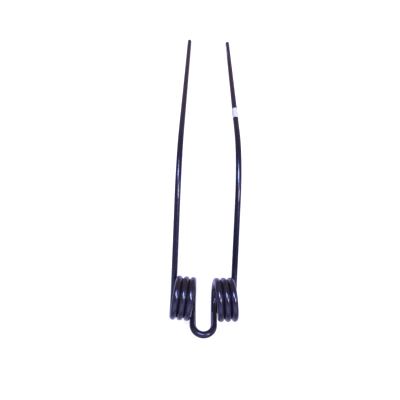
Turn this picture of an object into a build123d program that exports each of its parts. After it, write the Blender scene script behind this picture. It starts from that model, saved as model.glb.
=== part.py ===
# Double spring tine for a hay rake, lying on the ground as it comes to rest.
# One round spring steel bar is bent into a U-shaped mounting loop, two coils and two long kneed tines.
# Lengths in millimetres. X runs along the coils, Y points from the loop to the tine tips, Z is up.
import os
from math import asin, atan2, cos, degrees, hypot, pi, radians, sin

from build123d import *

os.makedirs("parts", exist_ok=True)

# Spring steel bar
wire_dia = 8.0
tip_round = 1.5  # rounding of the rim at each cut tip

# Coils, one on each side of the middle plane
coil_mean_dia = 44.6  # measured to the middle of the bar
coil_turns = 3
coil_pitch = 8.5  # from turn to turn, so that neighbouring turns nearly touch
coil_offset = 13.85  # from the middle plane to the bar at the inner end of a coil
coil_splay = 3.1  # degrees that a coil's axis leans toward the tips at its outer end

# Mounting loop between the coils
leg_wrap = 51.0  # degrees that the coil goes on past its last full turn before the leg leaves it
leg_length = 21.2

# Tines
root_length = 122.0  # straight run from the coil to the knee
knee_angle = 41.6  # degrees
knee_radius = 153.0  # to the middle of the bar
tine_length = 350.0  # straight run from the knee to the tip

# Blank label wrapped round the right tine
label_from_knee = 36.5  # from the end of the knee to the label
label_length = 26.5
label_thickness = 0.6  # two wraps of paper that stand a little off the bar

bar_radius = wire_dia / 2
coil_radius = coil_mean_dia / 2

# The bar's middle line is first laid out on a bench frame, whose origin is the middle between the coils.
# There the tines leave the coils along +Y at the coils' underside, and the knees bend them toward -Z.
lean = radians(coil_splay)
wrap = radians(leg_wrap)
coil_axis = Vector(cos(lean), sin(lean), 0)
coil_forward = Vector(-sin(lean), cos(lean), 0)
bench_up = Vector(0, 0, 1)
coil_start = Plane(
    origin=Vector(coil_offset, 0, 0) - coil_axis * (coil_pitch * wrap / (2 * pi)),
    x_dir=coil_forward * -sin(wrap) - bench_up * cos(wrap),
    z_dir=coil_axis,
)
bench_coil = coil_start * Helix(coil_pitch, coil_pitch * (coil_turns + leg_wrap / 360), coil_radius)

# The leg leaves the coil along its tangent, and the loop turns round to meet the middle plane squarely.
leg_start = bench_coil @ 0
leg_way = (bench_coil % 0) * -1
leg_slope = asin(-leg_way.X)
loop_plane = Plane(origin=leg_start, x_dir=(1, 0, 0), z_dir=Vector(1, 0, 0).cross(leg_way))
with BuildLine(loop_plane) as bench_loop:
    leg = Line(leg_start, leg_start + leg_way * leg_length)
    half_bow = JernArc(leg @ 1, leg_way, (leg @ 1).X / cos(leg_slope), 90 - degrees(leg_slope))

# The tine leaves the coil's other end along its tangent. The knee bends it away from the coil's axis.
tine_plane = Plane(
    origin=bench_coil @ 1,
    x_dir=bench_coil % 1,
    z_dir=bench_up.cross(bench_coil % 1),
)
with BuildLine(tine_plane) as bench_tine:
    root = Line((0, 0), (root_length, 0))
    knee = JernArc(root @ 1, root % 1, knee_radius, knee_angle)
    tine = Line(knee @ 1, knee @ 1 + (knee % 1) * tine_length)

# On the ground it rests on the undersides of the coils and of both tips, with the knees raised.
# The foot is the tip's lowest point less its rounding. The lying angle brings it level with the coils.
tine_way = tine % 1
tine_under = tine_way.cross(Vector(1, 0, 0))
foot = tine @ 1 - tine_way * tip_round + tine_under * (bar_radius - tip_round)
lie = degrees(asin((tip_round - coil_radius - bar_radius) / hypot(foot.Y, foot.Z)) - atan2(foot.Z, foot.Y))
tip_top = foot - tine_under * (2 * (bar_radius - tip_round))
front = tip_top.rotate(Axis.X, lie).Y + tip_round
back = (half_bow @ 1).rotate(Axis.X, lie).Y - bar_radius
lying = Location((0, -(front + back) / 2, coil_radius + bar_radius), (lie, 0, 0))
loop_line = lying * bench_loop.wire()
coil_line = lying * bench_coil
tine_line = lying * bench_tine.wire()

with BuildPart() as spring_wire:
    for run in (loop_line, coil_line, tine_line):
        with BuildSketch(Plane(origin=run @ 0, z_dir=run % 0)):
            Circle(bar_radius)
        sweep(path=run)
    tip = spring_wire.faces().sort_by(Axis.Y)[-1]
    fillet(tip.edges(), tip_round)
    mirror(about=Plane.YZ)
spring_wire.part.label = "spring_wire"
export_step(spring_wire.part, "parts/spring_wire.step")

label_start = tine @ 0 + tine_way * label_from_knee
label_line = lying * Line(label_start, label_start + tine_way * label_length)
with BuildPart() as label_band:
    with BuildSketch(Plane(origin=label_line @ 0, z_dir=label_line % 0)):
        Circle(bar_radius + label_thickness)
        Circle(bar_radius, mode=Mode.SUBTRACT)
    extrude(amount=label_length)
label_band.part.label = "label_band"
export_step(label_band.part, "parts/label_band.step")
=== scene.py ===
"""Double spring tine for a hay rake on a pale floor: painted spring bar, wrapped blank label and studio."""

from math import cos, pi, radians, sin

import bpy
from mathutils import Matrix, Vector


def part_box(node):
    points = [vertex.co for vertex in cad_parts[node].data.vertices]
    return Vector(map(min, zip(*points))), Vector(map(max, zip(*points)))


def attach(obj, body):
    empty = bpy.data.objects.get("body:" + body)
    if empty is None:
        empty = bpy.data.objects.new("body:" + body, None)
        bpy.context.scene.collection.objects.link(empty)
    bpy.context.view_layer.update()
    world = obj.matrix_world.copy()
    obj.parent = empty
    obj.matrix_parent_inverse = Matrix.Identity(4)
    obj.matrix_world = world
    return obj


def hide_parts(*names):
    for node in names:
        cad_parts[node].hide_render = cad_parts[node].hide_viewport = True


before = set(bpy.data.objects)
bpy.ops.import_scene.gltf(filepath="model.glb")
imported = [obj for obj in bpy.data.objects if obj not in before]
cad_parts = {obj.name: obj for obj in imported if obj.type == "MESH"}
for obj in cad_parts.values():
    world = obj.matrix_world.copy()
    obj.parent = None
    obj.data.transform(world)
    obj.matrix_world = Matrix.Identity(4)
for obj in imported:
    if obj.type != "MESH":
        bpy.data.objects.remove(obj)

bl_info = {
    "name": "Rake Tine Looks",
    "version": (1, 0, 0),
    "blender": (4, 5, 0),
    "location": "View3D > Sidebar > Rake Tine",
    "description": "Paints the bar of a double rake tine, wraps its blank label and sets the studio round it",
    "category": "Object",
}

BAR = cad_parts["spring_wire"]
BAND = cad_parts["label_band"]
BAR_LOW, BAR_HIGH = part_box("spring_wire")
COILS_Y = BAR_LOW.y + 0.0435

# middle line of the right coil: where its axis starts, the axis, and the arm out to the bar there
COIL_START = Vector((0.0126476, -0.2623043, 0.0262687))
COIL_AXIS = Vector((0.998537, 0.047397, 0.026039))
COIL_ARM = Vector((0.042027, -0.377118, -0.925211))
COIL_RADIUS = 0.0223
COIL_PITCH = 0.0085
COIL_TURNS = 3 + 51 / 360

# stretches along Y on which a look of the bar's paint sets in or ends
LOOP_END = (BAR_LOW.y + 0.006, BAR_LOW.y + 0.020)
LEG_RUB_START = (BAR_LOW.y + 0.009, BAR_LOW.y + 0.013)
LEG_RUB_END = (BAR_LOW.y + 0.029, BAR_LOW.y + 0.033)
ROOTS_START = (COILS_Y + 0.030, COILS_Y + 0.045)
COILS_END = (COILS_Y + 0.035, COILS_Y + 0.050)
ROOTS_END = (COILS_Y + 0.075, COILS_Y + 0.105)
KNEES_END = (COILS_Y + 0.138, COILS_Y + 0.152)
THINNING = (BAR_LOW.y + 0.20, BAR_HIGH.y)
# the next two bound a painted reflection: a violet sheen above the label
BLOOM_REFLECTION_START = (0.015, 0.035)
BLOOM_REFLECTION_END = (0.060, 0.170)
# the next two bound a painted reflection: a pale lilac patch beside the right tip
SCRAPE_REFLECTION_START = (BAR_HIGH.y - 0.095, BAR_HIGH.y - 0.050)
SCRAPE_REFLECTION_END = (BAR_HIGH.y - 0.022, BAR_HIGH.y - 0.014)
TIP_RUB = (BAR_HIGH.y - 0.0050, BAR_HIGH.y - 0.0006)

# the same for heights above the floor
FLOOR_RUB_TOP = (0.0005, 0.0016)
LEG_RUB_TOP = (0.016, 0.022)

# the same for the way a surface faces: away from the middle plane, toward the tips, and upward
LEG_RUB_SIDE = (-0.62, -0.32)
# bounds a painted reflection beside the right tip
SCRAPE_REFLECTION_SIDE = (-0.90, -0.68)
# bounds a painted reflection above the label
BLOOM_REFLECTION_SIDE = (0.15, 0.80)
# bounds painted shade on the coils' sides that face the tips
FAR_SIDE_SHADE = (-0.25, 0.55)
UPPER_SIDE = (-0.10, 0.15)

# the paint's unevenness: how many clouds to the metre, how they are drawn out, and how deep the relief is
FINE_SCALE = 2600.0
BROAD_SCALE = 28.0
SCUFF_SCALE = 420.0
SCUFF_STRETCH = (1.0, 0.18, 0.6)
RUN_DEPTH = 0.0006
PEEL_DEPTH = 0.00010
RUB_DEPTH = 0.00006
SPECK_DEPTH = 0.00012

# the paint's gloss
PAINT_IOR = 1.46
PAINT_SPECULAR = 0.52
GLOSS_IOR = 1.65
GLOSS_WEIGHT = 0.80
WEB_SHINE = 0.08

# the label's unevenness
FIBRE_SCALE = 2400.0
STAIN_SCALE = 150.0
CREASE_SCALE = 520.0
CREASE_STRETCH = (1.0, 0.16, 0.7)
CREASE_DEPTH = 0.00018
FIBRE_DEPTH = 0.00004
WRINKLE_SIZE = 0.006

# how finely the new pieces are cut
WEB_RING_POINTS = 10
WEB_STEPS = 150
LABEL_RING_POINTS = 84
LABEL_LAP_STEPS = 18
LABEL_ROWS = 26
SAME_PLACE = 1e-7

DUST_NAME = "settled dust"

# the studio
WHITE = (1.0, 1.0, 1.0, 1.0)
FLOOR_SIZE = 9.0
FLOOR_DROP = 0.00005  # below the bar, so that it doesn't cut into it
POOL_MIDDLE = (0.0, COILS_Y + 0.055, 0.0)
LAMP_TARGET = Vector((0.0, COILS_Y, 0.030))
LAMP_DISTANCE = 2.5
PANEL_DISTANCE = 1.0
CAMERA_PLACE = (-0.020187, -0.343696, 0.408655)
CAMERA_TURN = (30.1968, -2.5449, 1.5000)  # degrees
CAMERA_LENS = 27.0  # millimetres


# --- sizes and colours ---------------------------------------------------------------------------


def colour_setting(name, description, default):
    """A colour in the sidebar."""
    return bpy.props.FloatVectorProperty(
        name=name, description=description, subtype="COLOR", size=3, min=0.0, max=1.0, default=default
    )


class PaintSettings(bpy.types.PropertyGroup):
    coat_colour: colour_setting("Paint", "Colour of the paint where it lies thick", (0.0051, 0.0045, 0.0106))
    thin_colour: colour_setting(
        "Thin paint",
        "Colour of the paint toward the tips, where it lies thin and the steel warms it",
        (0.0245, 0.0052, 0.0046),
    )
    # in part painted shade: this brown tint also colours the coils' sides that face the tips
    browned_and_shaded_colour: colour_setting(
        "Brown loop paint and side shade",
        "Colour of the paint on the loop and on the coils' sides that face the tips",
        (0.0135, 0.0088, 0.0098),
    )
    dulled_colour: colour_setting(
        "Dulled paint",
        "Colour of the dull paint along the roots and the knees",
        (0.0050, 0.0036, 0.0028),
    )
    # painted reflection: a violet sheen beside the right tine
    bloom_reflection_colour: colour_setting(
        "Bloom reflection",
        "Colour of the faint bloom beside the right tine, above the label",
        (0.062, 0.056, 0.150),
    )
    sheen_colour: colour_setting(
        "Sheen",
        "Colour that the paint gives to the light it throws back",
        (0.24, 0.29, 1.0),
    )
    # painted reflection: the pale lilac of the bright floor, painted as a chalky patch beside the right tip
    scrape_reflection_colour: colour_setting(
        "Scrape reflection",
        "Colour of the chalky scrape beside the right tip",
        (0.64, 0.61, 0.87),
    )
    bare_colour: colour_setting(
        "Bare steel",
        "Colour of the steel where the paint has rubbed off",
        (0.34, 0.33, 0.46),
    )
    dust_colour: colour_setting("Dust", "Colour of the dust that lies on the upper sides", (0.19, 0.16, 0.15))
    speck_colour: colour_setting("Specks", "Colour of the specks of dirt", (0.05, 0.045, 0.05))
    roughness: bpy.props.FloatProperty(
        name="Paint roughness",
        description="Roughness of the dried paint under its gloss",
        subtype="FACTOR",
        min=0.0,
        max=1.0,
        default=0.33,
    )
    gloss_roughness: bpy.props.FloatProperty(
        name="Gloss roughness",
        description="Roughness of the gloss on top of the paint",
        subtype="FACTOR",
        min=0.0,
        max=1.0,
        default=0.145,
    )
    peel_size: bpy.props.FloatProperty(
        name="Peel size",
        description="Distance between the dimples of the dried paint",
        unit="LENGTH",
        min=0.0002,
        max=0.02,
        default=0.0016,
    )
    run_size: bpy.props.FloatProperty(
        name="Run size",
        description="Distance between the thick places where wet paint gathered",
        unit="LENGTH",
        min=0.001,
        max=0.05,
        default=0.0085,
    )
    web_size: bpy.props.FloatProperty(
        name="Web size",
        description="Radius of the paint that gathered between neighbouring turns",
        unit="LENGTH",
        min=0.0003,
        max=0.002,
        default=0.0009,
    )
    web_lead: bpy.props.FloatProperty(
        name="Web lead",
        description="Angle by which the gathered paint runs on past the turns at either end",
        subtype="ANGLE",
        min=0.0,
        max=radians(45),
        default=radians(16),
    )
    wear: bpy.props.FloatProperty(
        name="Wear",
        description="How much the tips and crowns are rubbed",
        subtype="FACTOR",
        min=0.0,
        max=1.0,
        default=0.5,
    )


class LabelSettings(bpy.types.PropertyGroup):
    paper_colour: colour_setting("Paper", "Colour of the blank label", (0.74, 0.725, 0.64))
    dust_colour: colour_setting("Dust", "Colour of the dust on the label", (0.55, 0.50, 0.45))
    speck_colour: colour_setting("Specks", "Colour of the specks on the label", (0.30, 0.28, 0.30))
    thickness: bpy.props.FloatProperty(
        name="Paper thickness",
        description="Thickness of the label",
        unit="LENGTH",
        min=0.00003,
        max=0.0005,
        default=0.00011,
    )
    slack: bpy.props.FloatProperty(
        name="Slack",
        description="Space between the bar and the loosely wrapped label",
        unit="LENGTH",
        min=0.0,
        max=0.001,
        default=0.00038,
    )
    lap: bpy.props.FloatProperty(
        name="Lap",
        description="Angle by which the label's end laps over its start",
        subtype="ANGLE",
        min=radians(5),
        max=radians(160),
        default=radians(70),
    )
    seam: bpy.props.FloatProperty(
        name="Seam",
        description="Angle round the bar at which the label starts, from the right-hand side over the top",
        subtype="ANGLE",
        min=radians(-180),
        max=radians(180),
        default=radians(-28),
    )
    skew: bpy.props.FloatProperty(
        name="Skew",
        description="How far the label's end slips along the bar from its start",
        unit="LENGTH",
        min=0.0,
        max=0.004,
        default=0.0011,
    )


class StageSettings(bpy.types.PropertyGroup):
    floor_colour: colour_setting("Floor", "Colour of the floor", (0.84, 0.83, 0.88))
    mirrored_floor_colour: colour_setting(
        "Mirrored floor",
        "Colour of the floor away from the coils, as the gloss of the paint shows it",
        (0.22, 0.19, 0.24),
    )
    # painted light: the pool is a glow in the floor that only the paint's gloss sees
    pool_colour: colour_setting(
        "Mirrored pool",
        "Colour of the brightly lit floor near the coils, as the gloss of the paint shows it",
        (0.53, 0.52, 0.90),
    )
    pool_strength: bpy.props.FloatProperty(
        name="Pool strength",
        description="Strength of the light that the floor near the coils throws back into the gloss",
        min=0.0,
        max=5.0,
        default=1.0,
    )
    pool_size: bpy.props.FloatProperty(
        name="Pool size",
        description="Radius of the brightly lit floor near the coils",
        unit="LENGTH",
        min=0.02,
        max=1.0,
        default=0.17,
    )
    front_colour: colour_setting(
        "Front light",
        "Colour of the soft light from in front of the loop",
        (0.50, 0.47, 0.70),
    )
    back_colour: colour_setting(
        "Back light",
        "Colour of the soft light from beyond the tips",
        (0.27, 0.19, 0.22),
    )
    overhead_colour: colour_setting(
        "Overhead light",
        "Colour of the soft light from above",
        (0.16, 0.14, 0.17),
    )
    surround: bpy.props.FloatProperty(
        name="Surround strength",
        description="Strength of the soft light from all round",
        min=0.0,
        max=2.0,
        default=0.60,
    )
    key_power: bpy.props.FloatProperty(
        name="Key lamp",
        description="Power of the cool lamp above the coils",
        unit="POWER",
        min=0.0,
        max=200.0,
        default=79.0,
    )
    side_power: bpy.props.FloatProperty(
        name="Side lamp",
        description="Power of the warm lamp on the right",
        unit="POWER",
        min=0.0,
        max=200.0,
        default=34.0,
    )
    front_power: bpy.props.FloatProperty(
        name="Front panel",
        description="Power of the wide cool panel in front of the loop",
        unit="POWER",
        min=0.0,
        max=200.0,
        default=3.6,
    )
    right_power: bpy.props.FloatProperty(
        name="Right panel",
        description="Power of the narrow lilac panel on the right",
        unit="POWER",
        min=0.0,
        max=50.0,
        default=1.3,
    )


# --- helpers for pieces --------------------------------------------------------------------------


def deselect_all():
    """Leaves nothing selected."""
    for thing in bpy.context.selected_objects:
        thing.select_set(False)


def make_active(piece):
    """Selects the piece alone and makes it the active one."""
    deselect_all()
    piece.select_set(True)
    bpy.context.view_layer.objects.active = piece


def pick_vertices(piece, wanted):
    """Selects in edit mode the vertices for which wanted(place) is true, and says how many there are."""
    bpy.ops.object.mode_set(mode="EDIT")
    bpy.ops.mesh.select_mode(type="VERT")
    bpy.ops.mesh.select_all(action="DESELECT")
    bpy.ops.object.mode_set(mode="OBJECT")
    count = 0
    for vertex in piece.data.vertices:
        vertex.select = wanted(vertex.co)
        count += vertex.select
    bpy.ops.object.mode_set(mode="EDIT")
    return count


def apply_modifier(piece, kind, name, **values):
    """Puts a modifier with these values on the piece and applies it."""
    modifier = piece.modifiers.new(name, kind)
    for key, value in values.items():
        setattr(modifier, key, value)
    make_active(piece)
    bpy.ops.object.modifier_apply(modifier=modifier.name)


def crumple(piece, name, mid_level, strength):
    """Pushes the surface in and out along clouds that stay fixed in the shared frame."""
    clouds = bpy.data.textures.get("wrinkle_clouds") or bpy.data.textures.new("wrinkle_clouds", "CLOUDS")
    clouds.noise_scale = WRINKLE_SIZE
    clouds.noise_depth = 2
    apply_modifier(
        piece,
        "DISPLACE",
        name,
        texture=clouds,
        texture_coords="GLOBAL",
        direction="NORMAL",
        mid_level=mid_level,
        strength=strength,
    )


def finish_piece(piece, sharp_degrees):
    """Merges doubles, turns the faces outward and smooths all but the sharp edges."""
    make_active(piece)
    bpy.ops.object.mode_set(mode="EDIT")
    bpy.ops.mesh.select_all(action="SELECT")
    bpy.ops.mesh.remove_doubles(threshold=1e-6)
    bpy.ops.mesh.normals_make_consistent(inside=False)
    bpy.ops.object.mode_set(mode="OBJECT")
    bpy.ops.object.shade_smooth_by_angle(angle=radians(sharp_degrees))
    deselect_all()


# --- helpers for materials -----------------------------------------------------------------------


def add_node(tree, kind, place, values=None, **settings):
    """Adds a node at a grid place, with input values by name and its own settings."""
    node = tree.nodes.new(kind)
    node.location = (place[0] * 190, place[1] * 170)
    for key, value in settings.items():
        setattr(node, key, value)
    for key, value in (values or {}).items():
        node.inputs[key].default_value = value
    return node


def join(tree, source, target):
    """Links an output socket to an input socket."""
    tree.links.new(source, target)


def split_vector(tree, place, vector):
    """The X, Y and Z sockets of a vector."""
    node = add_node(tree, "ShaderNodeSeparateXYZ", place)
    join(tree, vector, node.inputs[0])
    return node.outputs[:3]


def maths(tree, operation, place, first, second=None, third=None, clamp=False):
    """One operation on up to three sockets or numbers."""
    node = add_node(tree, "ShaderNodeMath", place, operation=operation, use_clamp=clamp)
    for index, value in enumerate((first, second, third)):
        if value is None:
            continue
        if isinstance(value, (int, float)):
            node.inputs[index].default_value = value
        else:
            join(tree, value, node.inputs[index])
    return node.outputs[0]


def product(tree, place, *shares):
    """Multiplies two or more shares with one another."""
    result = shares[0]
    for column, share in enumerate(shares[1:]):
        result = maths(tree, "MULTIPLY", (place[0] + column, place[1]), result, share)
    return result


def step(tree, place, value, low, high, to_low=0.0, to_high=1.0):
    """Runs smoothly from to_low where value is low to to_high where it is high."""
    node = add_node(tree, "ShaderNodeMapRange", place, interpolation_type="SMOOTHSTEP")
    node.inputs["From Min"].default_value = low
    node.inputs["From Max"].default_value = high
    node.inputs["To Min"].default_value = to_low
    node.inputs["To Max"].default_value = to_high
    join(tree, value, node.inputs["Value"])
    return node.outputs["Result"]


def blend_colour(tree, place, share, first, second, kind="MIX"):
    """Blends two colours, each a socket or three numbers, by a share."""
    node = add_node(tree, "ShaderNodeMix", place, data_type="RGBA", blend_type=kind, clamp_factor=True)
    for index, value in ((0, share), (6, first), (7, second)):
        if isinstance(value, (int, float)):
            node.inputs[index].default_value = value
        elif isinstance(value, bpy.types.NodeSocket):
            join(tree, value, node.inputs[index])
        else:
            node.inputs[index].default_value = (*value, 1.0)
    return node.outputs[2]


def noise(tree, place, coordinates, scale, detail=3.0, roughness=0.55, distortion=0.0):
    """Cloudy values from 0 to 1. The scale is in clouds to the metre."""
    node = add_node(
        tree,
        "ShaderNodeTexNoise",
        place,
        {"Scale": scale, "Detail": detail, "Roughness": roughness, "Distortion": distortion},
    )
    join(tree, coordinates, node.inputs["Vector"])
    return node.outputs["Fac"]


def stretched(tree, place, coordinates, scale):
    """Coordinates scaled by axis, so that a noise on them is drawn out."""
    node = add_node(tree, "ShaderNodeMapping", place, {"Scale": scale})
    join(tree, coordinates, node.inputs["Vector"])
    return node.outputs["Vector"]


def new_material(name):
    """A material with its tree, its surface shader and the object's own coordinates."""
    material = bpy.data.materials.new(name)
    material.use_nodes = True
    tree = material.node_tree
    tree.nodes.clear()
    surface = add_node(tree, "ShaderNodeBsdfPrincipled", (8, 0))
    output = add_node(tree, "ShaderNodeOutputMaterial", (10, 0))
    join(tree, surface.outputs[0], output.inputs["Surface"])
    place = add_node(tree, "ShaderNodeTexCoord", (-8, 0))
    return material, tree, surface, place.outputs["Object"]


def dust_group():
    """Dust that lies on upper sides in faint clouds, with a few darker specks of dirt. It is made once."""
    tree = bpy.data.node_groups.get(DUST_NAME)
    if tree:
        return tree
    tree = bpy.data.node_groups.new(DUST_NAME, "ShaderNodeTree")
    inputs = (
        ("Place", "NodeSocketVector", (0.0, 0.0, 0.0)),
        ("Amount", "NodeSocketFloat", 0.3),
        ("Speck Scale", "NodeSocketFloat", 700.0),
    )
    for label, kind, value in inputs:
        made = tree.interface.new_socket(name=label, in_out="INPUT", socket_type=kind)
        made.default_value = value
    for label in ("Dust", "Specks"):
        tree.interface.new_socket(name=label, in_out="OUTPUT", socket_type="NodeSocketFloat")
    given = add_node(tree, "NodeGroupInput", (-6, 0))
    result = add_node(tree, "NodeGroupOutput", (8, 0))
    place, amount, speck_scale = given.outputs[:3]

    shape = add_node(tree, "ShaderNodeNewGeometry", (-5, -3))
    upward = split_vector(tree, (-4, -3), shape.outputs["Normal"])[2]
    top = step(tree, (-3, -3), upward, 0.15, 0.95)
    cloud = step(tree, (-3, 1), noise(tree, (-4, 1), place, 45.0, 4.0, 0.62), 0.42, 0.72)
    grain = step(tree, (-3, -1), noise(tree, (-4, -1), place, 1900.0, 2.0, 0.6), 0.38, 0.66)
    join(tree, product(tree, (-1, 0), cloud, grain, top, amount), result.inputs["Dust"])

    cells = add_node(tree, "ShaderNodeTexVoronoi", (-3, 4), {"Randomness": 1.0})
    join(tree, place, cells.inputs["Vector"])
    join(tree, speck_scale, cells.inputs["Scale"])
    dots = step(tree, (-1, 4), cells.outputs["Distance"], 0.09, 0.16, 1.0, 0.0)
    rare = step(tree, (-1, 6), noise(tree, (-3, 6), place, 160.0, 2.0), 0.60, 0.68)
    join(tree, product(tree, (1, 4), dots, rare), result.inputs["Specks"])
    return tree


def settle_dust(tree, place, coordinates, amount, speck_scale):
    """The dust and the specks that lie on a surface."""
    node = add_node(tree, "ShaderNodeGroup", place)
    node.node_tree = dust_group()
    join(tree, coordinates, node.inputs["Place"])
    node.inputs["Amount"].default_value = amount
    node.inputs["Speck Scale"].default_value = speck_scale
    return node.outputs["Dust"], node.outputs["Specks"]


def bump(tree, place, height, distance, strength=1.0, under=None):
    """Fine relief, on top of the relief under it. The distance is in metres."""
    node = add_node(tree, "ShaderNodeBump", place, {"Strength": strength, "Distance": distance})
    join(tree, height, node.inputs["Height"])
    if under is not None:
        join(tree, under, node.inputs["Normal"])
    return node.outputs["Normal"]


# --- the painted bar -----------------------------------------------------------------------------


def dipped_paint(name, shine, settings):
    """Black dipped paint with a violet cast: dimpled, gathered in places, rubbed on crowns and tips."""
    material, tree, surface, place = new_material(name)
    across, along, height = split_vector(tree, (-7, 3), place)
    shape = add_node(tree, "ShaderNodeNewGeometry", (-8, 6))
    facing_x, facing_y, facing_z = split_vector(tree, (-7, 6), shape.outputs["Normal"])
    outward = maths(tree, "MULTIPLY", (-6, 6), facing_x, maths(tree, "SIGN", (-7, 5), across))
    on_right = maths(tree, "GREATER_THAN", (-5, -10), across, 0.0)

    # unevenness of the dried coat
    peel = noise(tree, (-6, -3), place, 1.0 / settings.peel_size, 2.0, 0.45)
    runs = noise(tree, (-6, -4), place, 1.0 / settings.run_size, 2.5, 0.5, 0.6)
    fine = noise(tree, (-6, -5), place, FINE_SCALE, 2.0, 0.6)
    broad = noise(tree, (-6, 0), place, BROAD_SCALE, 3.0, 0.55)

    # thin, warmer paint toward the tips
    toward_tips = step(tree, (-5, 4), along, *THINNING)
    thin = maths(tree, "MULTIPLY_ADD", (-4, 4), broad, 0.5, -0.25)
    thin = maths(tree, "ADD", (-3, 4), thin, toward_tips, clamp=True)
    colour = blend_colour(tree, (-2, 4), thin, settings.coat_colour, settings.thin_colour)

    # brown-tinted paint on the loop, and painted shade: the coils' sides that face the tips are tinted brown
    on_loop = step(tree, (-5, 5), along, *LOOP_END, 1.0, 0.0)
    far_side_shade = step(tree, (-5, 2), facing_y, *FAR_SIDE_SHADE)
    on_coils = step(tree, (-5, 3), along, *COILS_END, 1.0, 0.0)
    browned_and_shaded = maths(tree, "MAXIMUM", (-4, 3), on_loop, product(tree, (-4, 2), far_side_shade, on_coils))
    colour = blend_colour(tree, (-2, 3), browned_and_shaded, colour, settings.browned_and_shaded_colour)
    cast = blend_colour(tree, (-2, 6), runs, (0.75, 0.78, 1.0), (1.25, 1.12, 1.15))
    colour = blend_colour(tree, (-1, 4), 1.0, colour, cast, "MULTIPLY")

    # duller paint along the roots and less so on the knees, more on the right tine than on the left
    dulled = product(
        tree,
        (-4, -7),
        step(tree, (-5, -7), along, *ROOTS_START),
        step(tree, (-5, -8), along, *ROOTS_END, 1.0, 0.5),
        step(tree, (-5, -9), along, *KNEES_END, 1.0, 0.0),
        maths(tree, "MULTIPLY_ADD", (-4, -10), on_right, 0.7, 0.5),
    )

    # rubbed places: the cut tips, the crowns that lie on the floor, stray scuffs and the legs' inner sides
    drawn_out = stretched(tree, (-6, 9), place, SCUFF_STRETCH)
    scuffs = noise(tree, (-5, 9), drawn_out, SCUFF_SCALE, 4.0, 0.7, 0.4)
    tip = step(tree, (-5, 7), along, *TIP_RUB)
    low = step(tree, (-5, 8), height, *FLOOR_RUB_TOP, 1.0, 0.0)
    rub = maths(tree, "MAXIMUM", (-3, 8), tip, low)
    rub = product(tree, (-2, 8), rub, step(tree, (-3, 9), scuffs, 0.40, 0.58))
    stray = product(
        tree,
        (-2, 9),
        step(tree, (-4, 9), scuffs, 0.66, 0.72),
        step(tree, (-3, 10), broad, 0.52, 0.62),
    )
    legs = product(
        tree,
        (-4, 11),
        step(tree, (-5, 11), height, *LEG_RUB_TOP, 1.0, 0.0),
        step(tree, (-5, 12), along, *LEG_RUB_START),
        step(tree, (-5, 13), along, *LEG_RUB_END, 1.0, 0.0),
        step(tree, (-5, 14), outward, *LEG_RUB_SIDE, 1.0, 0.0),
    )
    rub = maths(tree, "MAXIMUM", (-1, 8), rub, stray)
    rub = maths(tree, "MAXIMUM", (-1, 10), rub, legs)
    rub = maths(tree, "MULTIPLY", (0, 8), rub, settings.wear * 1.6, clamp=True)

    # a painted reflection of the bright floor: a pale lilac, chalky patch along the upper inner side of the
    # right tip, where the paint looks scraped
    upper = product(tree, (-5, 15), on_right, step(tree, (-6, 15), facing_z, *UPPER_SIDE))
    scrape_reflection = product(
        tree,
        (-4, 15),
        step(tree, (-5, 16), outward, *SCRAPE_REFLECTION_SIDE, 1.0, 0.0),
        upper,
        step(tree, (-5, 17), along, *SCRAPE_REFLECTION_START),
        step(tree, (-5, 18), along, *SCRAPE_REFLECTION_END, 1.0, 0.0),
        step(tree, (-3, 16), scuffs, 0.26, 0.48),
    )

    # a painted reflection: a faint violet sheen along the upper outer side of the right tine, above the label
    bloom_reflection = product(
        tree,
        (-4, 19),
        step(tree, (-5, 19), outward, *BLOOM_REFLECTION_SIDE),
        upper,
        step(tree, (-5, 20), along, *BLOOM_REFLECTION_START),
        step(tree, (-5, 21), along, *BLOOM_REFLECTION_END, 0.75, 0.0),
    )

    dust, specks = settle_dust(tree, (-2, 1), place, 0.07, 650.0)
    # the pale lilac patch beside the right tip and the violet sheen above the label are painted reflections
    covers = (
        (dulled, settings.dulled_colour),
        (rub, settings.bare_colour),
        (scrape_reflection, settings.scrape_reflection_colour),
        (bloom_reflection, settings.bloom_reflection_colour),
        (dust, settings.dust_colour),
        (specks, settings.speck_colour),
    )
    for column, (share, cover) in enumerate(covers):
        colour = blend_colour(tree, (column, 5), share, colour, cover)
    join(tree, colour, surface.inputs["Base Color"])

    rough = maths(tree, "MULTIPLY_ADD", (1, 1), fine, 0.10, settings.roughness - 0.05 + (1 - shine) * 0.3)
    rough = maths(tree, "MULTIPLY_ADD", (2, 1), dust, 0.45, rough)
    rough = maths(tree, "MULTIPLY_ADD", (3, 1), thin, 0.06, rough, clamp=True)
    join(tree, rough, surface.inputs["Roughness"])
    join(tree, maths(tree, "MULTIPLY", (3, 0), rub, 0.85), surface.inputs["Metallic"])

    # the gloss, and what each place and cover takes from it
    gloss = GLOSS_WEIGHT * shine
    losses = (
        (toward_tips, -0.35),
        (on_loop, -0.50),
        (dulled, -0.60),
        (rub, -0.90),
        (scrape_reflection, -0.90),
        (dust, -0.70),
    )
    for column, (share, loss) in enumerate(losses):
        gloss = maths(tree, "MULTIPLY_ADD", (column, -1), share, loss, gloss, clamp=True)
    join(tree, gloss, surface.inputs["Coat Weight"])
    surface.inputs["Coat Roughness"].default_value = settings.gloss_roughness
    surface.inputs["Coat IOR"].default_value = GLOSS_IOR
    surface.inputs["IOR"].default_value = PAINT_IOR
    surface.inputs["Specular Tint"].default_value = (*settings.sheen_colour, 1.0)
    surface.inputs["Specular IOR Level"].default_value = PAINT_SPECULAR * shine

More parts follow.
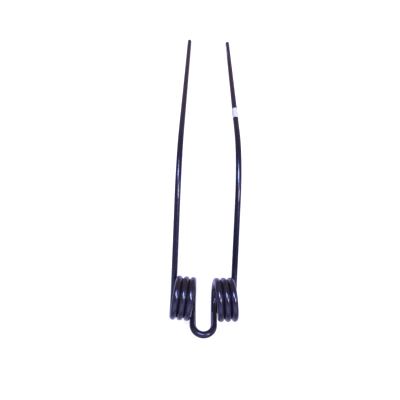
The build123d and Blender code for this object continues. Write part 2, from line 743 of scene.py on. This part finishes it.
    normal = bump(tree, (3, -4), runs, RUN_DEPTH, 0.34)
    normal = bump(tree, (4, -4), peel, PEEL_DEPTH, 0.22, normal)
    normal = bump(tree, (5, -4), maths(tree, "MULTIPLY", (4, -6), rub, -1.0), RUB_DEPTH, 1.0, normal)
    normal = bump(tree, (6, -4), specks, SPECK_DEPTH, 0.8, normal)
    join(tree, normal, surface.inputs["Normal"])
    join(tree, normal, surface.inputs["Coat Normal"])
    return material


class RAKETINE_OT_paint_bar(bpy.types.Operator):
    """Give the spring bar its gloss black paint"""

    bl_idname = "rake_tine.paint_bar"
    bl_label = "Paint Bar"

    def execute(self, context):
        paint = dipped_paint("gloss_black_paint", 1.0, context.scene.tine_paint)
        for material_slot in BAR.material_slots:
            material_slot.material = paint
        return {"FINISHED"}


class RAKETINE_OT_gather_paint(bpy.types.Operator):
    """Fill the narrow gaps between the coils' turns with the dark paint that gathered there, which also
    stands in for the shade in the gaps
    """

    bl_idname = "rake_tine.gather_paint"
    bl_label = "Gather Paint"

    def execute(self, context):
        settings = context.scene.tine_paint
        paint = dipped_paint("dull_black_paint", WEB_SHINE, settings)
        size = settings.web_size
        turn = 2 * pi * (COIL_TURNS - 1) + 2 * settings.web_lead

        # a ring half a pitch from the bar, carried round the coil's axis as a screw and pointed at its ends
        rise = COIL_PITCH * turn / (2 * pi)
        first = Vector((COIL_RADIUS, 0, COIL_PITCH / 2))
        last = Vector((COIL_RADIUS * cos(turn), COIL_RADIUS * sin(turn), COIL_PITCH / 2 + rise))
        deselect_all()
        bpy.ops.mesh.primitive_circle_add(
            vertices=WEB_RING_POINTS,
            radius=size,
            location=first,
            rotation=(pi / 2, 0, 0),
        )
        piece = bpy.context.active_object
        bpy.ops.object.transform_apply(location=True, rotation=True, scale=True)
        apply_modifier(
            piece,
            "SCREW",
            "turns",
            axis="Z",
            angle=turn,
            screw_offset=rise,
            steps=WEB_STEPS,
            render_steps=WEB_STEPS,
        )
        for end in (first, last):
            if pick_vertices(piece, lambda place: (place - end).length < size * 1.1) != WEB_RING_POINTS:
                raise RuntimeError("the end of the gathered paint was not found")
            bpy.ops.mesh.merge(type="CENTER")
            bpy.ops.object.mode_set(mode="OBJECT")

        # stood in the gaps of the right coil, made uneven, and copied to the left one
        arms = Matrix((COIL_ARM, COIL_AXIS.cross(COIL_ARM), COIL_AXIS)).transposed().to_4x4()
        lead = Matrix.Translation((0, 0, -COIL_PITCH * settings.web_lead / (2 * pi)))
        lead = lead @ Matrix.Rotation(-settings.web_lead, 4, "Z")
        piece.matrix_world = Matrix.Translation(COIL_START) @ arms @ lead
        make_active(piece)
        bpy.ops.object.transform_apply(location=True, rotation=True, scale=True)
        crumple(piece, "uneven", 0.5, size * 0.5)
        make_active(piece)
        bpy.ops.object.duplicate()
        twin = bpy.context.active_object
        twin.scale = (-1, 1, 1)
        bpy.ops.object.transform_apply(location=True, rotation=True, scale=True)
        # painted shade in part: the dark webs fill the gaps between the turns, where only shade would show
        for web, name in ((piece, "paint_web_shade_right"), (twin, "paint_web_shade_left")):
            web.name = name
            web.data.name = name
            finish_piece(web, 60)
            web.data.materials.append(paint)
            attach(web, "root")
        return {"FINISHED"}


# --- the wrapped label ---------------------------------------------------------------------------


def band_line():
    """The band's two end centres and the bar's radius under it, read from the CAD node."""
    mesh = BAND.data
    ends = {-1: [], 1: []}
    for face in mesh.polygons:
        if abs(face.normal.y) > 0.9:
            side = 1 if face.normal.y > 0 else -1
            ends[side] += [mesh.vertices[index].co for index in face.vertices]
    if not ends[-1] or not ends[1]:
        raise RuntimeError("the label band has no flat ends")
    middles = []
    for side in (-1, 1):
        low = Vector([min(point[axis] for point in ends[side]) for axis in range(3)])
        high = Vector([max(point[axis] for point in ends[side]) for axis in range(3)])
        middles.append((low + high) / 2)
    radius = min((point - middles[0]).length for point in ends[-1])
    return middles[0], middles[1], radius


def label_paper(settings):
    """Matt white paper with fibres, faint creases along the bar and cloudy greyed stains."""
    material, tree, surface, place = new_material("white_label_paper")
    grain = noise(tree, (-6, 1), place, FIBRE_SCALE, 3.0, 0.65)
    stain = noise(tree, (-6, 2), place, STAIN_SCALE, 3.0, 0.6)
    drawn_out = stretched(tree, (-7, -2), place, CREASE_STRETCH)
    creases = noise(tree, (-6, -2), drawn_out, CREASE_SCALE, 2.0, 0.5, 0.8)
    folded = step(tree, (-5, -2), creases, 0.44, 0.60)
    paper = settings.paper_colour
    greyed = tuple(value * share for value, share in zip(paper, (0.82, 0.80, 0.86)))
    colour = blend_colour(tree, (-3, 2), step(tree, (-4, 2), stain, 0.40, 0.75), paper, greyed)
    fibres = step(tree, (-4, 1), grain, 0.35, 0.7, 0.94, 1.0)
    colour = blend_colour(tree, (-2, 2), 1.0, colour, fibres, "MULTIPLY")
    dust, specks = settle_dust(tree, (-3, 4), place, 0.12, 900.0)
    colour = blend_colour(tree, (0, 3), dust, colour, settings.dust_colour)
    colour = blend_colour(tree, (1, 3), specks, colour, settings.speck_colour)
    join(tree, colour, surface.inputs["Base Color"])
    rough = maths(tree, "MULTIPLY_ADD", (0, 0), grain, 0.18, 0.42, clamp=True)
    join(tree, rough, surface.inputs["Roughness"])
    surface.inputs["Specular IOR Level"].default_value = 0.45
    normal = bump(tree, (3, -2), folded, CREASE_DEPTH, 0.5)
    normal = bump(tree, (4, -2), grain, FIBRE_DEPTH, 0.5, normal)
    join(tree, normal, surface.inputs["Normal"])
    return material


class RAKETINE_OT_wrap_label(bpy.types.Operator):
    """Wrap the blank paper label round the right tine"""

    bl_idname = "rake_tine.wrap_label"
    bl_label = "Wrap Label"

    def execute(self, context):
        settings = context.scene.tine_label
        start, end, bar_radius = band_line()
        way = (end - start).normalized()
        side = (Vector((1, 0, 0)) - way * way.x).normalized()
        over = way.cross(side) * -1
        if over.z < 0:
            over.negate()
        radius = bar_radius + settings.slack
        lap_radius = radius + settings.thickness * 1.6

        def radius_of(place):
            arm = place - start
            return (arm - way * arm.dot(way)).length

        # an open ring round the bar, whose end is carried on over its start
        deselect_all()
        turn = way.to_track_quat("Z", "Y").to_euler()
        bpy.ops.mesh.primitive_circle_add(
            vertices=LABEL_RING_POINTS, radius=radius, location=start, rotation=turn
        )
        piece = bpy.context.active_object
        piece.name = "label_wrap"
        piece.data.name = "label_wrap"
        bpy.ops.object.transform_apply(location=True, rotation=True, scale=True)
        seam_point = start + (side * cos(settings.seam) + over * sin(settings.seam)) * radius
        nearest = sorted(piece.data.vertices, key=lambda vertex: (vertex.co - seam_point).length)
        last = nearest[0].co.copy()
        first = nearest[1].co.copy()
        pick_vertices(piece, lambda place: min((place - last).length, (place - first).length) < SAME_PLACE)
        bpy.ops.mesh.select_mode(type="EDGE")
        bpy.ops.mesh.delete(type="EDGE")
        turning = way if (last - start).cross(first - last).dot(way) > 0 else -way
        if pick_vertices(piece, lambda place: (place - last).length < SAME_PLACE) != 1:
            raise RuntimeError("the label's end was not found")
        outward = (first - start).normalized() * (lap_radius - radius)
        bpy.ops.mesh.extrude_vertices_move(TRANSFORM_OT_translate={"value": first - last + outward})
        bpy.ops.mesh.spin(steps=LABEL_LAP_STEPS, angle=settings.lap, center=start, axis=turning)
        bpy.ops.mesh.select_all(action="SELECT")
        for _ in range(LABEL_ROWS):
            bpy.ops.mesh.extrude_region_move(TRANSFORM_OT_translate={"value": (end - start) / LABEL_ROWS})

        # the lapped end slips along the bar and draws the paper next to it along
        pick_vertices(piece, lambda place: radius_of(place) > radius + settings.thickness * 0.8)
        bpy.ops.transform.translate(
            value=way * -settings.skew,
            use_proportional_edit=True,
            use_proportional_connected=True,
            proportional_size=bar_radius * 2.4,
        )
        bpy.ops.object.mode_set(mode="OBJECT")
        crumple(piece, "wrinkles", 0.35, settings.slack * 0.8)
        apply_modifier(piece, "SOLIDIFY", "paper", thickness=settings.thickness, offset=0.0)
        finish_piece(piece, 40)
        piece.data.materials.append(label_paper(settings))
        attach(piece, "root")
        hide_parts("label_band")
        return {"FINISHED"}


# --- the studio ----------------------------------------------------------------------------------


def add_shaders(tree, place, first, second):
    """Adds the light of two shader nodes."""
    both = add_node(tree, "ShaderNodeAddShader", place)
    join(tree, first.outputs[0], both.inputs[0])
    join(tree, second.outputs[0], both.inputs[1])
    return both


def show_by_ray(tree, plain, mirrored, seen, output_kind):
    """Outputs one shader for plain light, one for mirroring and clear surfaces and one for the camera."""
    rays = add_node(tree, "ShaderNodeLightPath", (-4, 4))
    mirroring = maths(
        tree, "MAXIMUM", (-2, 4), rays.outputs["Is Glossy Ray"], rays.outputs["Is Transmission Ray"]
    )
    shown = plain
    for column, share, shader in ((1, mirroring, mirrored), (2, rays.outputs["Is Camera Ray"], seen)):
        mix = add_node(tree, "ShaderNodeMixShader", (column, 0))
        join(tree, share, mix.inputs[0])
        join(tree, shown.outputs[0], mix.inputs[1])
        join(tree, shader.outputs[0], mix.inputs[2])
        shown = mix
    output = add_node(tree, output_kind, (4, 0))
    join(tree, shown.outputs[0], output.inputs["Surface"])


def floor_material(settings):
    """Pale floor, which the camera sees lit white with soft shadows and the paint's gloss shows as lilac."""
    material = bpy.data.materials.new("pale_floor")
    material.use_nodes = True
    tree = material.node_tree
    tree.nodes.clear()
    place = add_node(tree, "ShaderNodeTexCoord", (-6, -1)).outputs["Object"]

    # in plain light
    mottle = noise(tree, (-5, -1), place, 9.0, 3.0)
    pale = settings.floor_colour
    shade = tuple(value * 0.97 for value in pale)
    plain = add_node(tree, "ShaderNodeBsdfDiffuse", (-1, -1))
    join(tree, blend_colour(tree, (-3, -1), mottle, pale, shade), plain.inputs["Color"])

    # in the paint's gloss: dim, with a painted pool of light near the coils, a glow that only the gloss sees
    dim = add_node(tree, "ShaderNodeBsdfDiffuse", (-2, 0), {"Color": (*settings.mirrored_floor_colour, 1.0)})
    from_coils = add_node(tree, "ShaderNodeVectorMath", (-5, 1), operation="DISTANCE")
    from_coils.inputs[1].default_value = POOL_MIDDLE
    join(tree, place, from_coils.inputs[0])
    reach = from_coils.outputs["Value"]
    near = step(tree, (-4, 1), reach, settings.pool_size * 0.3, settings.pool_size, 1.0, 0.0)
    pool = add_node(tree, "ShaderNodeEmission", (-2, 1), {"Color": (*settings.pool_colour, 1.0)})
    join(tree, maths(tree, "MULTIPLY", (-3, 1), near, settings.pool_strength), pool.inputs["Strength"])

    # to the camera: shadowed grey under an even glow
    grey = add_node(tree, "ShaderNodeBsdfDiffuse", (-1, 1), {"Color": (0.40, 0.40, 0.40, 1.0)})
    from_middle = add_node(tree, "ShaderNodeVectorMath", (-5, 2), operation="LENGTH")
    join(tree, place, from_middle.inputs[0])
    glow = add_node(tree, "ShaderNodeEmission", (-1, 2), {"Color": WHITE})
    join(tree, step(tree, (-4, 2), from_middle.outputs["Value"], 0.5, 1.2, 0.8, 1.0), glow.inputs["Strength"])

    mirrored = add_shaders(tree, (-1, 0), dim, pool)
    seen = add_shaders(tree, (0, 1), grey, glow)
    show_by_ray(tree, plain, mirrored, seen, "ShaderNodeOutputMaterial")
    return material


def set_world(settings):
    """Soft light, cool in front of the loop and dim beyond the tips. The camera sees a white backdrop."""
    world = bpy.data.worlds.new("white_studio")
    bpy.context.scene.world = world
    world.use_nodes = True
    tree = world.node_tree
    tree.nodes.clear()
    way = add_node(tree, "ShaderNodeTexCoord", (-6, 0)).outputs["Generated"]
    way_y, way_z = split_vector(tree, (-5, 0), way)[1:]
    beyond = step(tree, (-4, 0), way_y, -0.55, 0.45)
    rise = step(tree, (-4, 1), way_z, 0.55, 0.88)
    colour = blend_colour(tree, (-3, 0), beyond, settings.front_colour, settings.back_colour)
    colour = blend_colour(tree, (-2, 0), rise, colour, settings.overhead_colour)
    plain = add_node(tree, "ShaderNodeBackground", (-1, 0), {"Strength": settings.surround})
    mirrored = add_node(tree, "ShaderNodeBackground", (-1, 1), {"Strength": 1.0})
    join(tree, colour, plain.inputs["Color"])
    join(tree, colour, mirrored.inputs["Color"])
    seen = add_node(tree, "ShaderNodeBackground", (-1, 2), {"Color": WHITE, "Strength": 1.0})
    show_by_ray(tree, plain, mirrored, seen, "ShaderNodeOutputWorld")


def add_lamp(name, way, distance, power, colour, size):
    """A soft oblong lamp that stands this far from the coils, in the direction of way, and faces them."""
    way = Vector(way).normalized()
    turn = way.to_track_quat("Z", "Y").to_euler()
    deselect_all()
    bpy.ops.object.light_add(type="AREA", location=LAMP_TARGET + way * distance, rotation=turn)
    lamp = bpy.context.active_object
    lamp.name = name
    lamp.data.shape = "RECTANGLE"
    lamp.data.size, lamp.data.size_y = size
    lamp.data.energy = power
    lamp.data.color = colour


class RAKETINE_OT_set_stage(bpy.types.Operator):
    """Set up the floor, the soft lights and the camera"""

    bl_idname = "rake_tine.set_stage"
    bl_label = "Set Stage"

    def execute(self, context):
        settings = context.scene.tine_stage
        deselect_all()
        bpy.ops.mesh.primitive_grid_add(
            x_subdivisions=4,
            y_subdivisions=4,
            size=FLOOR_SIZE,
            location=(0, 0, BAR_LOW.z - FLOOR_DROP),
        )
        floor = bpy.context.active_object
        floor.name = "floor"
        floor.data.materials.append(floor_material(settings))
        set_world(settings)

        # each lamp's name, way and distance from the coils, power, colour and size
        far, close = LAMP_DISTANCE, PANEL_DISTANCE
        lamps = (
            ("key_lamp", (-0.132, 0.112, 1.0), far, settings.key_power, (0.50, 0.61, 0.97), (0.78, 1.12)),
            ("side_lamp", (0.514, -0.24, 1.0), far, settings.side_power, (1.0, 0.86, 0.90), (0.50, 0.80)),
            ("right_panel", (0.90, 0.12, 0.42), close, settings.right_power, (0.62, 0.60, 1.0), (0.35, 1.2)),
            ("front_panel", (0.0, -0.92, 0.40), close, settings.front_power, (0.54, 0.53, 0.84), (1.6, 0.9)),
        )
        for name, *values in lamps:
            add_lamp(name, *values)

        turn = [radians(angle) for angle in CAMERA_TURN]
        bpy.ops.object.camera_add(location=CAMERA_PLACE, rotation=turn)
        camera = bpy.context.active_object
        camera.name = "camera"
        camera.data.sensor_width = 36.0
        camera.data.lens = CAMERA_LENS
        camera.data.clip_start = 0.01
        camera.data.clip_end = 50.0
        context.scene.camera = camera
        context.scene.view_settings.view_transform = "Standard"
        deselect_all()
        return {"FINISHED"}


# --- the sidebar and the run ---------------------------------------------------------------------


class RAKETINE_PT_sidebar(bpy.types.Panel):
    """Lists the pieces of the rake tine and their sizes and colours"""

    bl_idname = "RAKETINE_PT_sidebar"
    bl_label = "Rake Tine"
    bl_space_type = "VIEW_3D"
    bl_region_type = "UI"
    bl_category = "Rake Tine"

    def draw(self, context):
        parts = (
            (context.scene.tine_paint, (RAKETINE_OT_paint_bar, RAKETINE_OT_gather_paint)),
            (context.scene.tine_label, (RAKETINE_OT_wrap_label,)),
            (context.scene.tine_stage, (RAKETINE_OT_set_stage,)),
        )
        for settings, operators in parts:
            box = self.layout.box()
            for name in settings.__annotations__:
                box.prop(settings, name)
            for operator in operators:
                box.operator(operator.bl_idname)


CLASSES = (
    PaintSettings,
    LabelSettings,
    StageSettings,
    RAKETINE_OT_paint_bar,
    RAKETINE_OT_gather_paint,
    RAKETINE_OT_wrap_label,
    RAKETINE_OT_set_stage,
    RAKETINE_PT_sidebar,
)


def register():
    for item in CLASSES:
        bpy.utils.register_class(item)
    bpy.types.Scene.tine_paint = bpy.props.PointerProperty(type=PaintSettings)
    bpy.types.Scene.tine_label = bpy.props.PointerProperty(type=LabelSettings)
    bpy.types.Scene.tine_stage = bpy.props.PointerProperty(type=StageSettings)


def unregister():
    del bpy.types.Scene.tine_stage
    del bpy.types.Scene.tine_label
    del bpy.types.Scene.tine_paint
    for item in reversed(CLASSES):
        bpy.utils.unregister_class(item)


def main():
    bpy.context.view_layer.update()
    register()
    bpy.ops.rake_tine.set_stage()
    bpy.ops.rake_tine.paint_bar()
    bpy.ops.rake_tine.gather_paint()
    bpy.ops.rake_tine.wrap_label()


if __name__ == "__main__":
    main()
